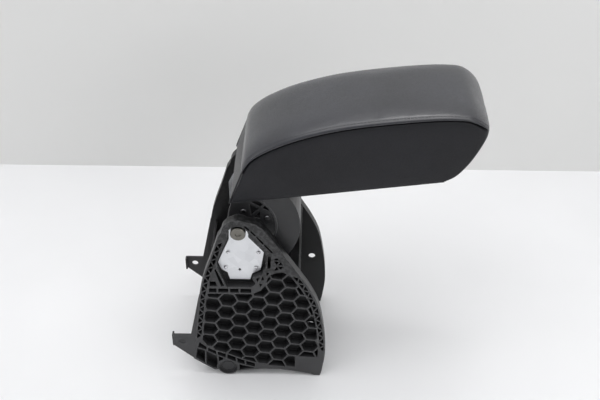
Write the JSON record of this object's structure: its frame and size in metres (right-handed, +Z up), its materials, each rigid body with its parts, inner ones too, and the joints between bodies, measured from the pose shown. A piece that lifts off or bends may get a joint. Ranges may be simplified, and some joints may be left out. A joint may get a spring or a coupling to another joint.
{
  "type": "car armrest",
  "caption": "Padded leather armrest lid that tilts on a friction hinge between the honeycomb-ribbed cheeks of its base, for a car's centre console.",
  "frame": {"origin": "centre of the footprint of the whole armrest with its lid lowered, on the surface the base stands on", "axes": "+Z up, +X towards the nose of the padded lid, +Y to the left cheek, so the hinge axis runs along Y"},
  "size_m": [0.3846, 0.1604, 0.41],
  "materials": {
    "ribbed_plastic": "satin",
    "drum_plastic": "satin",
    "top_leather": "satin",
    "side_leather": "matte",
    "foam": "matte",
    "zinc_steel": "satin",
    "rivet_steel": "polished",
    "pin_steel": "satin",
    "black_steel": "satin",
    "washer_plastic": "matte"
  },
  "bodies": {
    "base": {"right_cheek": "ribbed_plastic", "right_hinge_plate": "zinc_steel", "right_backing_plate": "zinc_steel", "right_pivot_pin": "pin_steel", "right_friction_washer": "washer_plastic", "right_wave_washer": "zinc_steel", "right_rivet_1": "rivet_steel", "right_rivet_2": "rivet_steel", "right_rivet_3": "rivet_steel", "right_rivet_4": "rivet_steel", "left_cheek": "ribbed_plastic", "left_hinge_plate": "zinc_steel", "left_backing_plate": "zinc_steel", "left_pivot_pin": "pin_steel", "left_friction_washer": "washer_plastic", "left_wave_washer": "zinc_steel", "left_rivet_1": "rivet_steel", "left_rivet_2": "rivet_steel", "left_rivet_3": "rivet_steel", "left_rivet_4": "rivet_steel", "front_cross_wall": "ribbed_plastic", "rear_cross_wall": "ribbed_plastic", "foot_cross_tube": "black_steel"},
    "pad": {"carrier_tray": "ribbed_plastic", "hinge_drum": "drum_plastic", "foam_core": "foam", "top_cover": "top_leather", "rear_panel": "top_leather", "right_side_panel": "side_leather", "right_hinge_arm": "ribbed_plastic", "right_arm_screw_1": "rivet_steel", "right_arm_screw_2": "rivet_steel", "left_side_panel": "side_leather", "left_hinge_arm": "ribbed_plastic", "left_arm_screw_1": "rivet_steel", "left_arm_screw_2": "rivet_steel"}
  },
  "joints": [
    {"name": "armrest_tilt", "type": "hinge", "parent": "base", "child": "pad", "pos_m": [-0.09877, 0, 0.246], "axis": [0, -1, 0], "range_deg": [-8, 80]}
  ]
}
